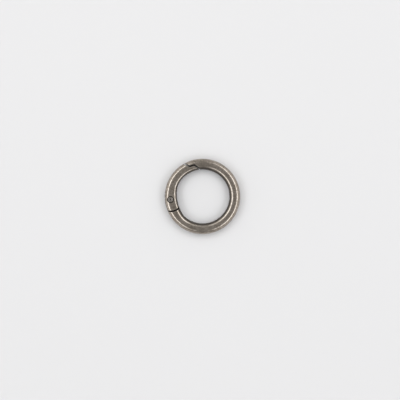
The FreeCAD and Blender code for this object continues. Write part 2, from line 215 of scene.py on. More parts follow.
def turnsOnLine(depths, piece, lineX, lineY):
    # where each column meets a line that runs from the hole to the outside
    lineReach, lineTurn = np.hypot(lineX, lineY), np.arctan2(lineY, lineX)
    order = np.argsort(lineReach)
    turns = np.full(depths.shape, lineTurn.mean())
    for _ in range(8):
        turns = np.interp(columnReach(depths, turns, piece), lineReach[order], lineTurn[order])
    return turns


def distanceToLine(x, y, lineX, lineY):
    # shortest distance from each point to a chain of straight pieces
    flatX, flatY = x.ravel()[:, None], y.ravel()[:, None]
    startX, startY = lineX[:-1][None], lineY[:-1][None]
    stepX, stepY = np.diff(lineX)[None], np.diff(lineY)[None]
    share = ((flatX - startX) * stepX + (flatY - startY) * stepY) / (stepX ** 2 + stepY ** 2)
    share = np.clip(share, 0, 1)
    gap = np.hypot(flatX - startX - share * stepX, flatY - startY - share * stepY)
    return gap.min(axis=1).reshape(x.shape)


def rowShares(length, ends=(True, True)):
    # rows close together at a worked end and 0.3 mm apart along the band
    near = np.array([0, 0.012, 0.03, 0.055, 0.085, 0.12, 0.16, 0.2, 0.26, 0.36, 0.5, 0.7, 0.95,
                     1.25, 1.6, 2.0])
    if length < 5:
        near = near[near < length / 3]
    first, last = (near if ends[0] else near[:1]), (near if ends[1] else near[:1])
    count = max(2, int((length - first[-1] - last[-1]) / 0.3))
    middle = np.linspace(first[-1], length - last[-1], count + 1)
    return np.concatenate([first[:-1], middle, length - last[::-1][1:]]) / length


def edgeDrop(distance, edgeBreak, room):
    # a rounded edge: how far the face falls as it nears the end, along a quarter circle
    share = np.clip(1 - distance / edgeBreak, 0, 1)
    return np.minimum(edgeBreak, 0.5 * np.clip(room, 0, None)) * (1 - np.sqrt(1 - share ** 2))


def halfRows(turns, shares, depths, piece):
    # plan places of a strip of the band, between two worked ends
    grid = turns[0][None] * (1 - shares[:, None]) + turns[1][None] * shares[:, None]
    reach = columnReach(depths[None], grid, piece)
    return reach * np.cos(grid), reach * np.sin(grid)


def placeObject(name, data):
    made = bpy.data.objects.new(name, data)
    bpy.context.scene.collection.objects.link(made)
    return made


def gridQuads(index):
    # the four corners of every cell in a grid of point numbers
    quads = np.stack([index[:-1, :-1], index[1:, :-1], index[1:, 1:], index[:-1, 1:]], axis=-1)
    return quads.reshape(-1, 4)


def closeShell(name, rows):
    # rows of points over the upper half, each a (x, y, z) array; both sides and both ends go
    # down to the middle plane, and the lower half is the mirror image
    upper = np.stack([np.stack(row, axis=-1) for row in rows])
    side = upper * [1, 1, 0]
    upper = np.concatenate([side[:, :1], upper, side[:, -1:]], axis=1)
    points = np.concatenate([upper.reshape(-1, 3), (upper * [1, 1, -1]).reshape(-1, 3)])
    index = np.arange(upper.shape[0] * upper.shape[1]).reshape(upper.shape[:2])
    quads = gridQuads(index)
    faces = np.concatenate([quads, quads[:, ::-1] + index.size])
    return meshPiece(name, toFrame(points), faces)


def meshPiece(name, points, faces):
    # points in metres and faces of one size into a mesh whose doubles are merged and whose
    # faces point outwards
    mesh = bpy.data.meshes.new(name)
    mesh.vertices.add(len(points))
    mesh.vertices.foreach_set("co", np.asarray(points, np.float32).ravel())
    sides = faces.shape[1]
    mesh.loops.add(faces.size)
    mesh.loops.foreach_set("vertex_index", faces.astype(np.int32).ravel())
    mesh.polygons.add(len(faces))
    mesh.polygons.foreach_set("loop_start", np.arange(len(faces), dtype=np.int32) * sides)
    mesh.update(calc_edges=True)
    work = bmesh.new()
    work.from_mesh(mesh)
    bmesh.ops.remove_doubles(work, verts=work.verts, dist=4e-7)
    bmesh.ops.dissolve_degenerate(work, edges=work.edges, dist=1e-7)
    bmesh.ops.recalc_face_normals(work, faces=work.faces)
    work.to_mesh(mesh)
    work.free()
    return placeObject(name, mesh)


def prism(name, outlineX, outlineY, low, high):
    # a closed outline in plan, raised from one height to another
    count = len(outlineX)
    mesh = bpy.data.meshes.new(name)
    ends = [np.stack([outlineX, outlineY, np.full(count, z)], axis=-1) for z in (low, high)]
    ring = np.arange(count)
    walls = np.stack([ring, np.roll(ring, -1), np.roll(ring, -1) + count, ring + count],
                     axis=-1)
    faces = walls.tolist() + [ring[::-1].tolist(), (ring + count).tolist()]
    mesh.from_pydata(toFrame(np.concatenate(ends)).tolist(), [], faces)
    return placeObject(name, mesh)


def roundShell(name, points):
    # rings of points in millimetres, each closed on itself and joined to the next
    sides = points.shape[1]
    index = np.arange(points.shape[0] * sides).reshape(-1, sides)
    after = np.roll(index, -1, axis=1)
    quads = np.stack([index[:-1], after[:-1], after[1:], index[1:]], axis=-1).reshape(-1, 4)
    return meshPiece(name, toFrame(points.reshape(-1, 3)), quads)


def turned(name, radius, height, sides, start, axis=(0, 0, 1), side=(1, 0, 0)):
    # a profile of radius and height carried round an axis; rows of zero radius close to a point
    turn = np.linspace(0, 2 * math.pi, sides, endpoint=False)
    axis, side = np.array(axis, float), np.array(side, float)
    other = np.cross(axis, side)
    round_ = np.cos(turn)[:, None] * side + np.sin(turn)[:, None] * other
    radius, height = np.asarray(radius, float), np.asarray(height, float)
    points = (np.array(start, float) + height[:, None, None] * axis
              + radius[:, None, None] * round_[None])
    return roundShell(name, points)


def arcPoints(x, y, radius, first, last, count):
    turn = np.radians(np.linspace(first, last, count))
    return np.stack([x + radius * np.cos(turn), y + radius * np.sin(turn)], axis=-1)


def pinCut(name, radius):
    # the rivet's hole; 3 mm either way goes right through
    hole = arcPoints(pivotReach, 0, radius, 0, 360, 97)[:-1]
    return prism(name, hole[:, 0], hole[:, 1], -3, 3)


def cutAway(piece, cutters):
    # exact booleans one after another, and the result kept as the piece's own mesh
    for cutter in cutters:
        cut = piece.modifiers.new("cut", "BOOLEAN")
        cut.operation, cut.solver, cut.object = "DIFFERENCE", "EXACT", cutter
    done = piece.evaluated_get(bpy.context.evaluated_depsgraph_get())
    mesh = bpy.data.meshes.new_from_object(done)
    piece.modifiers.clear()
    piece.data = mesh
    for cutter in cutters:
        bpy.data.objects.remove(cutter)


def shadeSmooth(piece, angle):
    mesh = piece.data
    mesh.polygons.foreach_set("use_smooth", np.ones(len(mesh.polygons), bool))
    mesh.set_sharp_from_angle(angle=math.radians(angle))


def pieceCoordinates(piece):
    # a mesh's own points, back in millimetres with the rivet on +X
    count = len(piece.data.vertices)
    points = np.empty(count * 3, np.float32)
    piece.data.vertices.foreach_get("co", points)
    points = points.reshape(-1, 3).astype(float) / mm
    c, s = math.cos(hingeTurn), math.sin(hingeTurn)
    return points[:, 0] * c + points[:, 1] * s, points[:, 1] * c - points[:, 0] * s, points[:, 2]


def storeMask(piece, name, values):
    attribute = piece.data.attributes.new(name, "FLOAT", "POINT")
    attribute.data.foreach_set("value", np.clip(values, 0, 1).astype(np.float32))


def nearNose(x, y, line):
    # distance to the nose's line, worked out only for points close to it
    found = np.full(x.shape, farAway)
    middleX, middleY = line[0].mean(), line[1].mean()
    close = np.hypot(x - middleX, y - middleY) < ringBand["noseReach"]
    found[close] = distanceToLine(x[close], y[close], *line)
    return found


castRing = {
    "thickness": 4.5,
    "roundIn": 2.2,
    "roundOut": 2.2,
    "edgeBreak": 0.28,
    "tongueHalf": 0.9,          # half the hinge tongue's thickness
    "tongueEdge": 0.06,
    "tongueEndX": 0.75,
    "tongueEndRadius": 1.9,
    "camX": -1.2557,
    "camY": 0.3365,
    "camRadius": 2.25,
    "pinHole": 1.05,
    "tongueLength": 6.5,
    # painted shade kept on the tongue's edge
    "tongueEdgeShade": 0.3,
    "tongueEdgeDepth": 0.18,    # how deep that lighter edge goes
}


def tongueLine():
    # the tongue's end in plan, from the hole to the outside: round cam, flat, round corner
    r = castRing
    camEnd = math.degrees(math.atan2(-r["tongueEndRadius"] - r["camY"], 0.001))
    cam = arcPoints(r["camX"], r["camY"], r["camRadius"], 180, 270, 160)
    corner = arcPoints(r["tongueEndX"], 0, r["tongueEndRadius"], camEnd, 0, 160)
    line = np.concatenate([cam, corner])
    return line[:, 0] + pivotReach, line[:, 1]


def buildCastRing():
    r, b = castRing, ringBand
    depths = columnDepths(r)
    shift = b["seam"] * (math.sqrt(1 + stepSlope() ** 2) - stepSlope())
    nose = noseLine(b["seam"], shift)
    socket = b["tail"] + b["seam"]
    noseTurns = turnsOnLine(depths, r, *nose) + 2 * math.pi
    socketTurns = tailTurns(depths, r, socket)
    length = float((noseTurns - socketTurns).mean()) * (b["hole"] + b["outside"]) / 2
    x, y = halfRows((noseTurns, socketTurns), rowShares(length), depths, r)
    height = bandHeight(x, y, r)
    fromNose = nearNose(x, y, nose)
    fromNose[0] = 0
    fromSocket = np.hypot(x - pivotReach, y) - socket
    fromSocket[-1] = 0
    seat = np.minimum(height, r["tongueHalf"])
    z = height - edgeDrop(fromNose, r["edgeBreak"], height)
    z = z - edgeDrop(fromSocket, r["edgeBreak"], height - seat)
    rows = [(x[0], y[0], 0 * z[0])] + list(zip(x, y, z))

    # the tongue goes on from the foot of the socket's wall
    tongue = tongueLine()
    tongueTurns = turnsOnLine(depths, r, *tongue)
    shares = rowShares(r["tongueLength"])
    x, y = halfRows((socketTurns, tongueTurns), shares, depths, r)
    height = np.minimum(bandHeight(x, y, r), r["tongueHalf"])
    fromEnd = distanceToLine(x, y, *tongue)
    fromEnd[-1] = 0
    z = height - edgeDrop(fromEnd, r["tongueEdge"], height)
    rows += list(zip(x, y, z)) + [(x[-1], y[-1], 0 * z[-1])]

    piece = closeShell("castRingBody", rows)
    cutAway(piece, [pinCut("pinHoleCut", r["pinHole"])])
    shadeSmooth(piece, 32)
    x, y, z = pieceCoordinates(piece)
    fromPivot = np.hypot(x - pivotReach, y)
    fromNose, fromSocket = nearNose(x, y, nose), np.abs(fromPivot - socket)
    storeMask(piece, "wearAndGlint", rubbedGlintRim(np.minimum(fromNose, fromSocket)))
    # painted shade: the tongue is dark on its cheeks, hidden in the gate's slot, and lighter on
    # its edge, flush with the band's outside
    onEdge = b["outside"] - np.hypot(x, y) < r["tongueEdgeDepth"]
    paintedTongueShade = np.where(onEdge, r["tongueEdgeShade"], 1.0) * (fromPivot < socket - 0.02)
    storeMask(piece, "paintedShadeMask",
              np.maximum(paintedEndShade(x, y, fromNose, fromSocket, r), paintedTongueShade))
    return piece


# painted shade of the seams and the inner flank, and the rubbed line with its painted glint
endShade = {
    "rubbedGlintAt": 0.4,            # middle of the rubbed line and its painted glint, from a worked end
    "rubbedGlintWidth": 0.14,
    "noseWidth": 0.23,          # how far the painted shade of each seam reaches from it
    "tailWidth": 0.2,
    "tailOutside": 0.3,         # share of it left at the tail's outer end
    "outerFrom": 0.5,           # where that outer end stops, and how softly
    "outerFade": 0.8,
    "onWall": 0.004,            # nearer than this, a point lies on the seam's own wall
    "wallShare": 0.8,
    "flankFrom": 0.3,           # the flank's painted shade fades between these shares of the rounding
    "flankTo": 0.55,
}


def rubbedGlintRim(distance):
    # rubbed wear and a painted glint: brightest just inside a worked end, where a broken edge
    # rubs
    return np.exp(-((distance - endShade["rubbedGlintAt"]) / endShade["rubbedGlintWidth"]) ** 2)


def paintedEndShade(x, y, fromNose, fromTail, piece):
    # painted shade: dark in the seams' walls, less so at the tail's outer end, and low on the
    # flank towards the hole
    e = endShade
    share = depthFromHole(x, y) / piece["roundIn"]
    low = np.clip((e["flankTo"] - share) / (e["flankTo"] - e["flankFrom"]), 0, 1)
    outward = ringBand["outside"] - np.hypot(x, y)
    inside = np.clip((outward - e["outerFrom"]) / e["outerFade"], 0, 1)
    tailShare = e["tailOutside"] + (1 - e["tailOutside"]) * inside
    walls = np.maximum(np.exp(-(fromNose / e["noseWidth"]) ** 2),
                       np.exp(-(fromTail / e["tailWidth"]) ** 2) * tailShare)
    walls = walls * np.where(np.minimum(fromNose, fromTail) < e["onWall"], e["wallShare"], 1)
    return np.maximum(walls, ringBand["paintedInnerShade"] * low ** 2 * (3 - 2 * low))


def stepSlope():
    b = ringBand
    return (b["stepOuter"] - b["stepInner"]) / (b["noseLong"] + b["noseShort"])


swingGate = {
    "thickness": 4.4,
    "roundIn": 1.5,
    "roundOut": 2.1,
    "edgeBreak": 0.28,
    "slotHalf": 0.98,           # half the slot that takes the body's tongue
    "slotRootOut": 2.8,
    "slotRootIn": 3.7,
    "slotSide": 6.54,
    "pinHole": 1.0,
    "recess": 1.55,
    "recessFloor": 1.75,
    "recessFlare": 0.13,
    "boreX": -1.3,
    "bore": 0.9,
    "boreEnd": -8.4,
}


def buildSwingGate():
    g, b = swingGate, ringBand
    depths = columnDepths(g)
    nose = noseLine(0, 0)
    noseTurns = turnsOnLine(depths, g, *nose)
    gateTail = tailTurns(depths, g, b["tail"])
    length = float((gateTail - noseTurns).mean()) * (b["hole"] + b["outside"]) / 2
    x, y = halfRows((noseTurns, gateTail), rowShares(length), depths, g)
    height = bandHeight(x, y, g)
    fromNose = nearNose(x, y, nose)
    fromNose[0] = 0
    fromTail = np.where(y > 0, b["tail"] - np.hypot(x - pivotReach, y), farAway)
    fromTail[-1] = 0
    z = height - edgeDrop(fromNose, g["edgeBreak"], height)
    z = z - edgeDrop(fromTail, g["edgeBreak"], height)
    rows = [(x[0], y[0], 0 * z[0])] + list(zip(x, y, z)) + [(x[-1], y[-1], 0 * z[-1])]
    piece = closeShell("swingGate", rows)

    side = g["slotSide"]
    slot = np.concatenate([
        [[side, 0], [side, side], [-side, side], [-side, 0]],
        arcPoints(0, 0, g["slotRootIn"], 180, 270, 48),
        arcPoints(0, 0, g["slotRootOut"], 270, 360, 48),
    ])
    top = g["thickness"] / 2
    # radius and height down the recess: straight side, flared mouth, and well clear above
    flare = np.array([g["recess"], g["recess"], g["recess"] + 0.03,
                      g["recess"] + g["recessFlare"], g["recess"] + g["recessFlare"]])
    rise = np.array([g["recessFloor"], top - 0.14, top - 0.09, top + 0.02, 4])
    middle = (pivotReach, 0, 0)
    recesses = [turned(f"recessCut{index}", np.r_[0, flare, 0], way * np.r_[rise[0], rise, 4],
                       96, middle) for index, way in enumerate((1, -1))]
    bore = turned("boreCut", [0, g["bore"], g["bore"], 0], [-1, -1, -g["boreEnd"], -g["boreEnd"]],
                  64, (pivotReach + g["boreX"], 0, 0), (0, -1, 0), (0, 0, 1))
    cutAway(piece, [
        prism("slotCut", slot[:, 0] + pivotReach, slot[:, 1], -g["slotHalf"], g["slotHalf"]),
        pinCut("pinCut", g["pinHole"]), *recesses, bore])
    shadeSmooth(piece, 32)
    x, y, z = pieceCoordinates(piece)
    fromPivot = np.hypot(x - pivotReach, y)
    fromNose = nearNose(x, y, nose)
    fromTail = np.where(y > 0, np.abs(fromPivot - b["tail"]), farAway)
    rim = np.hypot(fromPivot - g["recess"] - g["recessFlare"],
                   np.clip(top - 0.1 - np.abs(z), 0, None))
    storeMask(piece, "wearAndGlint", np.maximum(rubbedGlintRim(np.minimum(fromNose, fromTail)),
                                        np.exp(-(rim / 0.12) ** 2)))
    # painted shade: dark inside the rivet's recess and inside the tongue's slot
    inside = (fromPivot < g["recess"] + 0.05) & (np.abs(z) < top - 0.08)
    inside |= (np.abs(z) < g["slotHalf"] + 0.001) & (fromPivot < g["slotSide"]) & (y > -4)
    storeMask(piece, "paintedShadeMask", np.maximum(paintedEndShade(x, y, fromNose, fromTail, g), inside))
    return piece


setRivet = {
    "shank": 1.0,
    "head": 1.2,
    "top": 2.15,
    "under": 1.75,
    "edge": 0.12,
    "dimple": 0.45,
    "dimpleFoot": 0.15,
    "dimpleDepth": 0.3,
}


def buildSetRivet():
    # half profile from the middle of the top down to the middle of the shank: cone-shaped
    # setting dimple with a soft rim, flat land, rounded edge, underside, shank
    r = setRivet
    bend = np.radians(np.linspace(0, 90, 7))
    lip = 0.05
    radius = np.concatenate([
        [0, 0.6 * r["dimpleFoot"], r["dimpleFoot"]],
        np.linspace(r["dimpleFoot"], r["dimple"] - lip, 5)[1:],
        [r["dimple"] - 0.4 * lip, r["dimple"], r["dimple"] + lip],
        np.linspace(r["dimple"] + 2 * lip, r["head"] - r["edge"], 5),
        r["head"] - r["edge"] + r["edge"] * np.sin(bend[1:]),
        [r["head"], r["shank"], r["shank"], r["shank"]]])
    drop = r["dimpleDepth"] / (r["dimple"] - r["dimpleFoot"])
    cone = np.linspace(r["dimpleFoot"], r["dimple"] - lip, 5)[1:]
    height = np.concatenate([
        [-r["dimpleDepth"], -r["dimpleDepth"], -r["dimpleDepth"] + 0.02],
        -(r["dimple"] - cone) * drop,
        [-0.022, -0.008, -0.001],
        np.zeros(5),
        -r["edge"] * (1 - np.cos(bend[1:])),
        [r["under"] - r["top"], r["under"] - r["top"], -r["top"] + 0.9, -r["top"]]]) + r["top"]
    radius = np.concatenate([radius, radius[:-1][::-1]])
    height = np.concatenate([height, -height[:-1][::-1]])
    piece = turned("setRivet", radius, height, 96, (pivotReach, 0, 0))
    shadeSmooth(piece, 40)
    x, y, z = pieceCoordinates(piece)
    out = np.hypot(x - pivotReach, y)
    rim = np.minimum(np.abs(out - r["head"] + 0.03), np.abs(out - r["dimple"]))
    storeMask(piece, "wearAndGlint", np.exp(-(rim / 0.1) ** 2))
    # painted shade on the head's side, down in the gate's recess, and in the setting dimple
    low = (np.abs(z) < r["top"] - r["edge"] + 0.02) & (out > r["head"] - 0.02)
    storeMask(piece, "paintedShadeMask", np.maximum(low, 0.85 * (out < r["dimple"] - 0.04)))
    return piece


plungerShape = {
    "x": -1.3,
    "tip": 1.924,
    "dome": 1.2,
    "head": 0.85,
    "headBack": 4.3,
    "stem": 0.375,
    "stemEnd": 7.7,
    "edge": 0.08,
}


def buildPlunger():
    # profile along the bore: round tip, head with a broken edge, thin stem with a round end
    p = plungerShape
    last = math.asin(p["head"] / p["dome"])
    bend = np.linspace(0, last, 14)
    quarter = np.radians(np.linspace(0, 90, 6))
    radius = np.concatenate([
        p["dome"] * np.sin(bend), [p["head"]], p["head"] - p["edge"] * (1 - np.cos(quarter)),
        [p["stem"] + 0.06, p["stem"] + 0.02, p["stem"], p["stem"]],
        p["stem"] - p["edge"] * (1 - np.cos(quarter)), [0]])
    height = np.concatenate([
        p["tip"] + p["dome"] * (1 - np.cos(bend)), [p["headBack"] - 0.6],
        p["headBack"] - p["edge"] * (1 - np.sin(quarter)),
        [p["headBack"], p["headBack"] + 0.015, p["headBack"] + 0.06, p["stemEnd"] - 1],
        p["stemEnd"] - p["edge"] * (1 - np.sin(quarter)), [p["stemEnd"]]])
    piece = turned("plunger", radius, height, 64, (pivotReach + p["x"], 0, 0), (0, -1, 0),
                   (0, 0, 1))
    shadeSmooth(piece, 40)
    x, y, z = pieceCoordinates(piece)
    storeMask(piece, "wearAndGlint", np.exp(-((-y - p["tip"]) / 0.25) ** 2))
    storeMask(piece, "paintedShadeMask", 0 * x)
    return piece


coilShape = {
    "x": -1.3,
    "wire": 0.35,
    "coil": 0.65,
    "turns": 8,
    "start": 4.31,
    "end": 8.39,
    "stepsPerTurn": 40,
    "sides": 14,
    "crowding": 0.09,           # how much closer the first and last turns lie
}


def buildGateCoil():
    # a round wire carried along a helix whose first and last turns lie closer together
    c = coilShape
    count, sides = c["turns"] * c["stepsPerTurn"] + 1, c["sides"]
    share = np.linspace(0, 1, count)
    rise = share - c["crowding"] * np.sin(2 * math.pi * share) / math.pi
    turn = share * c["turns"] * 2 * math.pi
    span = c["end"] - c["start"] - c["wire"]
    along = c["start"] + c["wire"] / 2 + span * rise
    pitch = np.gradient(along, turn)
    round_ = np.stack([np.cos(turn), np.sin(turn), 0 * turn], axis=-1)
    tangent = np.stack([-c["coil"] * np.sin(turn), c["coil"] * np.cos(turn), pitch], axis=-1)
    tangent /= np.linalg.norm(tangent, axis=1)[:, None]
    other = np.cross(tangent, round_)
    line = c["coil"] * round_ + np.stack([0 * turn, 0 * turn, along], axis=-1)
    about = np.linspace(0, 2 * math.pi, sides, endpoint=False)
    swing = (np.cos(about)[None, :, None] * round_[:, None]
             + np.sin(about)[None, :, None] * other[:, None])
    tube = line[:, None] + c["wire"] / 2 * swing
    # each end closes to a point, as a flat disc
    tube = np.concatenate([np.repeat(line[:1, None], sides, 1), tube,
                           np.repeat(line[-1:, None], sides, 1)])
    # its own axis lies along the bore, towards the nose
    points = np.stack([pivotReach + c["x"] + tube[..., 0], -tube[..., 2], tube[..., 1]],
                      axis=-1)
    piece = roundShell("gateCoil", points)
    shadeSmooth(piece, 50)
    x, _, _ = pieceCoordinates(piece)
    storeMask(piece, "wearAndGlint", 0 * x)
    storeMask(piece, "paintedShadeMask", 0 * x)
    return piece


def newGroup(name, inputs, outputs):
    # a shader node group with named sockets: inputs are (name, kind, value)
    group = bpy.data.node_groups.new(name, "ShaderNodeTree")
    for label, kind, value in inputs:
        socket = group.interface.new_socket(label, in_out="INPUT", socket_type=kind)
        if value is not None:
            socket.default_value = value
    for label, kind in outputs:
        group.interface.new_socket(label, in_out="OUTPUT", socket_type=kind)
    return group, group.nodes.new("NodeGroupInput"), group.nodes.new("NodeGroupOutput")


def addNode(tree, kind, links=None, **settings):
    # a node with its settings, and each named or numbered input linked or set
    node = tree.nodes.new(kind)
    for key, value in settings.items():
        setattr(node, key, value)
    for key, value in (links or {}).items():
        if isinstance(value, bpy.types.NodeSocket):
            tree.links.new(value, node.inputs[key])
        else:
            node.inputs[key].default_value = value
    return node


def buildMottle():
    # tone changes of a plated casting: a slow noise and a fine one, stretched to a mask
    group, given, made = newGroup("castMottle", [
        ("Place", "NodeSocketVector", None), ("Scale", "NodeSocketFloat", 300.0),
        ("Contrast", "NodeSocketFloat", 1.0), ("Fine Scale", "NodeSocketFloat", 1500.0),
        ("Fine Contrast", "NodeSocketFloat", 1.0)], [("Mask", "NodeSocketFloat")])
    total = 0.5
    for size, contrast in (("Scale", "Contrast"), ("Fine Scale", "Fine Contrast")):
        noise = addNode(group, "ShaderNodeTexNoise", {
            "Vector": given.outputs["Place"], "Scale": given.outputs[size], "Detail": 3.0,
            "Roughness": 0.55})
        spread = addNode(group, "ShaderNodeMath", {0: noise.outputs["Fac"], 1: 0.5},
                         operation="SUBTRACT")
        total = addNode(group, "ShaderNodeMath", {
            0: spread.outputs[0], 1: given.outputs[contrast], 2: total},
            operation="MULTIPLY_ADD", use_clamp=contrast == "Fine Contrast").outputs[0]
    group.links.new(total, made.inputs["Mask"])
    return group


def buildPolish():
    # soft ripples left by tumbling, with fine grain on them, and a mask of the grain
    group, given, made = newGroup("tumblePolish", [
        ("Place", "NodeSocketVector", None), ("Ripple Scale", "NodeSocketFloat", 350.0),
        ("Grain Scale", "NodeSocketFloat", 9000.0), ("Grain", "NodeSocketFloat", 0.15)],
        [("Height", "NodeSocketFloat"), ("Grain Mask", "NodeSocketFloat")])
    ripple = addNode(group, "ShaderNodeTexNoise", {
        "Vector": given.outputs["Place"], "Scale": given.outputs["Ripple Scale"],
        "Detail": 1.5, "Roughness": 0.4})
    grain = addNode(group, "ShaderNodeTexNoise", {
        "Vector": given.outputs["Place"], "Scale": given.outputs["Grain Scale"],
        "Detail": 2.0, "Roughness": 0.6})
    scaled = addNode(group, "ShaderNodeMath", {
        0: grain.outputs["Fac"], 1: given.outputs["Grain"]}, operation="MULTIPLY")
    total = addNode(group, "ShaderNodeMath", {0: ripple.outputs["Fac"], 1: scaled.outputs[0]},
                    operation="ADD")
    group.links.new(total.outputs[0], made.inputs["Height"])
    group.links.new(grain.outputs["Fac"], made.inputs["Grain Mask"])
    return group


def buildEdgeWearAndGlint():
    # rubbed edges and painted glints: the piece's own wear-and-glint mask, broken up by noise
    group, given, made = newGroup("edgeWearAndGlint", [
        ("Place", "NodeSocketVector", None), ("Scale", "NodeSocketFloat", 2500.0),
        ("Amount", "NodeSocketFloat", 0.7)], [("Mask", "NodeSocketFloat")])
    edge = addNode(group, "ShaderNodeAttribute", attribute_name="wearAndGlint")
    noise = addNode(group, "ShaderNodeTexNoise", {
        "Vector": given.outputs["Place"], "Scale": given.outputs["Scale"], "Detail": 3.0})
    broken = addNode(group, "ShaderNodeMapRange", {
        "Value": noise.outputs["Fac"], "From Min": 0.35, "From Max": 0.65, "To Min": 0.35,
        "To Max": 1.0}, interpolation_type="SMOOTHSTEP")
    worn = addNode(group, "ShaderNodeMath", {0: edge.outputs["Fac"],
                                             1: broken.outputs["Result"]},
                   operation="MULTIPLY")
    amount = addNode(group, "ShaderNodeMath", {0: worn.outputs[0],
                                               1: given.outputs["Amount"]},
                     operation="MULTIPLY", use_clamp=True)
    group.links.new(amount.outputs[0], made.inputs["Mask"])
    return group


def mixColour(tree, factor, first, second):
    mix = addNode(tree, "ShaderNodeMix", {0: factor, 6: first, 7: second}, data_type="RGBA")
    return mix.outputs[2]


def metalFinish(name, finish, groups):
    # plated metal: dark and light tones by the mottle, rubbed edges lighter and also a painted
    # glint, painted shade making sheltered faces darker and duller, with ripples and grain as a
    # bump
    material = bpy.data.materials.new(name)
    material.use_nodes = True
    tree = material.node_tree
    tree.nodes.clear()
    place = addNode(tree, "ShaderNodeTexCoord").outputs["Object"]
    mottle = addNode(tree, "ShaderNodeGroup", node_tree=groups["mottle"])
    polish = addNode(tree, "ShaderNodeGroup", node_tree=groups["polish"])
    wearAndGlint = addNode(tree, "ShaderNodeGroup", node_tree=groups["wearAndGlint"])
    for group, labels in ((mottle, ("Scale", "Contrast", "Fine Scale", "Fine Contrast")),
                          (polish, ("Ripple Scale", "Grain Scale", "Grain")),
                          (wearAndGlint, ("Amount",))):
        tree.links.new(place, group.inputs["Place"])
        for label in labels:
            group.inputs[label].default_value = finish[label]
    paintedShadeMask = addNode(tree, "ShaderNodeAttribute", attribute_name="paintedShadeMask").outputs["Fac"]

    tone = mixColour(tree, mottle.outputs["Mask"], (*finish["dark"], 1), (*finish["light"], 1))
    tone = mixColour(tree, wearAndGlint.outputs["Mask"], tone, (*finish["rubbedAndGlint"], 1))
    tone = mixColour(tree, paintedShadeMask, tone, (*finish["paintedShadeTone"], 1))
    rough = addNode(tree, "ShaderNodeMapRange", {
        "Value": polish.outputs["Grain Mask"], "From Min": 0.3, "From Max": 0.7,
        "To Min": finish["roughness"][0], "To Max": finish["roughness"][1]})
    dull = addNode(tree, "ShaderNodeMath", {0: paintedShadeMask, 1: finish["dulled"]},
                   operation="MULTIPLY")
    roughness = addNode(tree, "ShaderNodeMath", {0: rough.outputs["Result"],
                                                 1: dull.outputs[0]}, operation="ADD")
    bump = addNode(tree, "ShaderNodeBump", {
        "Height": polish.outputs["Height"], "Strength": 1.0, "Distance": finish["depth"]})
    shader = addNode(tree, "ShaderNodeBsdfPrincipled", {
        "Base Color": tone, "Metallic": 1.0, "Roughness": roughness.outputs[0],
        "Normal": bump.outputs["Normal"]})
    output = addNode(tree, "ShaderNodeOutputMaterial")
    tree.links.new(shader.outputs["BSDF"], output.inputs["Surface"])
    return material


castGunmetal = {
    "dark": (0.255, 0.218, 0.178),
    "light": (0.405, 0.358, 0.310),
    # lighter tone of worn edges, also used as a painted glint
    "rubbedAndGlint": (0.62, 0.555, 0.48),
    # painted shade in seams, recesses and low on the inner flank
    "paintedShadeTone": (0.035, 0.031, 0.027),
    "roughness": (0.11, 0.19),
    "dulled": 0.35,             # how much rougher the faces under the painted shade are
    "Scale": 260.0,
    "Contrast": 1.9,
    "Fine Scale": 1300.0,
    "Fine Contrast": 3.0,
    "Ripple Scale": 380.0,
    "Grain Scale": 9000.0,
    "Grain": 0.05,
    "Amount": 0.6,
    "depth": 0.00002,
}
rivetSteel = {**castGunmetal, "dark": (0.22, 0.20, 0.18), "light": (0.30, 0.275, 0.25),
              "roughness": (0.24, 0.36), "depth": 0.00001}
plungerSteel = {**castGunmetal, "dark": (0.50, 0.49, 0.47), "light": (0.60, 0.59, 0.57),
                "roughness": (0.22, 0.34), "depth": 0.000005}
springWire = {**castGunmetal, "dark": (0.42, 0.41, 0.40), "light": (0.55, 0.54, 0.52),
              "roughness": (0.25, 0.38), "depth": 0.000005}

studio = {
    "lens": 85.0,
    "distance": 0.4384,
    "aimX": -0.00116,
    "aimY": -0.00165,
    "floorZ": cadLow.z,
    "floorTone": (0.582, 0.575, 0.568),
    "lightReach": 1.2,
    "lightFrom": 34.0,          # degrees from straight up
    "lightTo": 56.0,
    "lightSpan": 92.0,          # half the width of each light round the ring
    "lightStrength": 2.9,
    "lightColour": (0.96, 0.985, 1.04, 1),
    "overheadPlace": (0.0, 0.55, 1.0),
    "overheadSize": 1.0,
    "overheadPower": 3.8,
    "skyLevel": 0.57,
    "skyBehind": 0.16,          # brighter towards +Y
    "skySides": 0.75,           # brighter towards +X and -X
    "skyLow": 0.20,             # brighter near the walls
}


def buildCamera():
    data = bpy.data.cameras.new("camera")
    data.lens, data.sensor_width = studio["lens"], 36.0
    data.clip_start, data.clip_end = 0.01, 100
    camera = placeObject("camera", data)
    camera.location = (studio["aimX"], studio["aimY"], studio["distance"])
    bpy.context.scene.camera = camera


def buildFloor():
    # a wide flat sheet just under the ring, finer in the middle
    spread = np.linspace(-1, 1, 41)
    place = np.sign(spread) * np.abs(spread) ** 3 * 6
    x, y = np.meshgrid(place, place)
    points = np.stack([x, y, np.full_like(x, studio["floorZ"])], axis=-1).reshape(-1, 3)
    index = np.arange(x.size).reshape(x.shape)
    quads = np.stack([index[:-1, :-1], index[:-1, 1:], index[1:, 1:], index[1:, :-1]], axis=-1)
    mesh = bpy.data.meshes.new("floor")
    mesh.from_pydata(points.tolist(), [], quads.reshape(-1, 4).tolist())
    floor = placeObject("floor", mesh)
    material = bpy.data.materials.new("paleFloor")
    material.use_nodes = True
    shader = material.node_tree.nodes["Principled BSDF"]
    shader.inputs["Base Color"].default_value = (*studio["floorTone"], 1)
    shader.inputs["Roughness"].default_value = 0.9
    shader.inputs["Specular IOR Level"].default_value = 0.1
    mesh.materials.append(material)


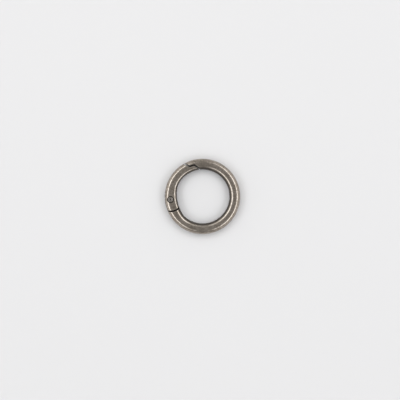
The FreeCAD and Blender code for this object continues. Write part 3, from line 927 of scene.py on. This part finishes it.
def buildGlow(name, bearing):
    # a patch of a dome round the ring: bearing and angle from straight up are the grid's two
    # directions, and its glow fades smoothly to nothing at its rim
    lights = studio
    across, down = np.linspace(-1, 1, 61), np.linspace(-1, 1, 25)
    turn = np.radians(bearing + lights["lightSpan"] * across)[:, None]
    middle = (lights["lightTo"] + lights["lightFrom"]) / 2
    half = (lights["lightTo"] - lights["lightFrom"]) / 2
    lean = np.radians(middle + half * down)[None]
    points = np.stack([np.sin(lean) * np.cos(turn), np.sin(lean) * np.sin(turn),
                       np.cos(lean) + 0 * turn], axis=-1) * lights["lightReach"]
    index = np.arange(points.shape[0] * points.shape[1]).reshape(points.shape[:2])
    mesh = bpy.data.meshes.new(name)
    mesh.from_pydata(points.reshape(-1, 3).tolist(), [], gridQuads(index).tolist())
    ends = np.clip((1 - np.abs(across)) / 0.62, 0, 1)[:, None]
    rims = np.clip((1 - np.abs(down)) / 0.6, 0, 1)[None]
    attribute = mesh.attributes.new("glow", "FLOAT", "POINT")
    glow = ends ** 2 * (3 - 2 * ends) * rims ** 2 * (3 - 2 * rims)
    attribute.data.foreach_set("value", glow.astype(np.float32).ravel())
    panel = placeObject(name, mesh)
    material = bpy.data.materials.new(name)
    material.use_nodes = True
    tree = material.node_tree
    tree.nodes.clear()
    spread = addNode(tree, "ShaderNodeAttribute", attribute_name="glow").outputs["Fac"]
    power = addNode(tree, "ShaderNodeMath", {0: spread, 1: lights["lightStrength"]},
                    operation="MULTIPLY")
    shine = addNode(tree, "ShaderNodeEmission", {"Color": lights["lightColour"],
                                                 "Strength": power.outputs[0]})
    clear = addNode(tree, "ShaderNodeBsdfTransparent")
    both = addNode(tree, "ShaderNodeAddShader", {0: shine.outputs[0], 1: clear.outputs[0]})
    output = addNode(tree, "ShaderNodeOutputMaterial")
    tree.links.new(both.outputs[0], output.inputs["Surface"])
    mesh.materials.append(material)
    panel.visible_camera = False


def buildOverhead():
    # a soft lamp above and behind for the floor, not mirrored in the metal
    data = bpy.data.lights.new("overhead", "AREA")
    data.shape, data.size = "DISK", studio["overheadSize"]
    data.energy = studio["overheadPower"]
    lamp = placeObject("overhead", data)
    lamp.location = studio["overheadPlace"]
    lamp.rotation_euler = Vector(studio["overheadPlace"]).to_track_quat("Z", "Y").to_euler()
    lamp.visible_glossy = False
    lamp.visible_camera = False


def buildSky():
    # plain room light by direction: level + behind * y + sides * |x| + low * (1 - z)^4
    world = bpy.data.worlds.new("room")
    bpy.context.scene.world = world
    world.use_nodes = True
    tree = world.node_tree
    tree.nodes.clear()
    way = addNode(tree, "ShaderNodeTexCoord").outputs["Generated"]
    split = addNode(tree, "ShaderNodeSeparateXYZ", {"Vector": way}).outputs

    def worked(operation, first, second, third=0.0):
        node = addNode(tree, "ShaderNodeMath", {0: first, 1: second, 2: third},
                       operation=operation)
        return node.outputs[0]

    behind = worked("MULTIPLY_ADD", split["Y"], studio["skyBehind"], studio["skyLevel"])
    sides = worked("ABSOLUTE", split["X"], 0.0)
    level = worked("MULTIPLY_ADD", sides, studio["skySides"], behind)
    low = worked("POWER", worked("SUBTRACT", 1.0, worked("MAXIMUM", split["Z"], 0.0)), 4.0)
    level = worked("MULTIPLY_ADD", low, studio["skyLow"], level)
    shine = addNode(tree, "ShaderNodeBackground", {"Strength": level})
    output = addNode(tree, "ShaderNodeOutputWorld")
    tree.links.new(shine.outputs["Background"], output.inputs["Surface"])


buildCamera()
buildFloor()
buildSky()
buildGlow("lightLeft", 180)
buildGlow("lightRight", 0)
buildOverhead()
settings = bpy.context.scene.view_settings
settings.view_transform, settings.look = "Standard", "None"
settings.exposure, settings.gamma = 0.0, 1.0
print("camera, floor and lights set")

groups = {"mottle": buildMottle(), "polish": buildPolish(), "wearAndGlint": buildEdgeWearAndGlint()}
finishes = {
    "castRingBody": metalFinish("castGunmetal", castGunmetal, groups),
    "setRivet": metalFinish("rivetSteel", rivetSteel, groups),
    "plunger": metalFinish("plungerSteel", plungerSteel, groups),
    "gateCoil": metalFinish("springWire", springWire, groups),
}
finishes["swingGate"] = finishes["castRingBody"]
print("finishes made")

# piece, its builder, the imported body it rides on, the node it stands for, and its finish slot
for build, body, node, slot in (
        (buildCastRing, "ring", "ring_body", "cast_gunmetal"),
        (buildSwingGate, "gate", "gate", "cast_gunmetal"),
        (buildSetRivet, "gate", "pivot_rivet", "rivet_steel"),
        (buildPlunger, "plunger", "spring_plunger", "plunger_steel"),
        (buildGateCoil, "gate", "gate_spring", "spring_wire")):
    piece = build()
    piece.data.materials.clear()
    piece.data.materials.append(finishes[piece.name])
    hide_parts(node)
    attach(piece, body)
    if piece.name == "gateCoil":
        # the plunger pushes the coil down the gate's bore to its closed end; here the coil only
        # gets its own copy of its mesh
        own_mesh(piece)
    print(f"{piece.name}: {len(piece.data.polygons)} faces, rides on {body}")
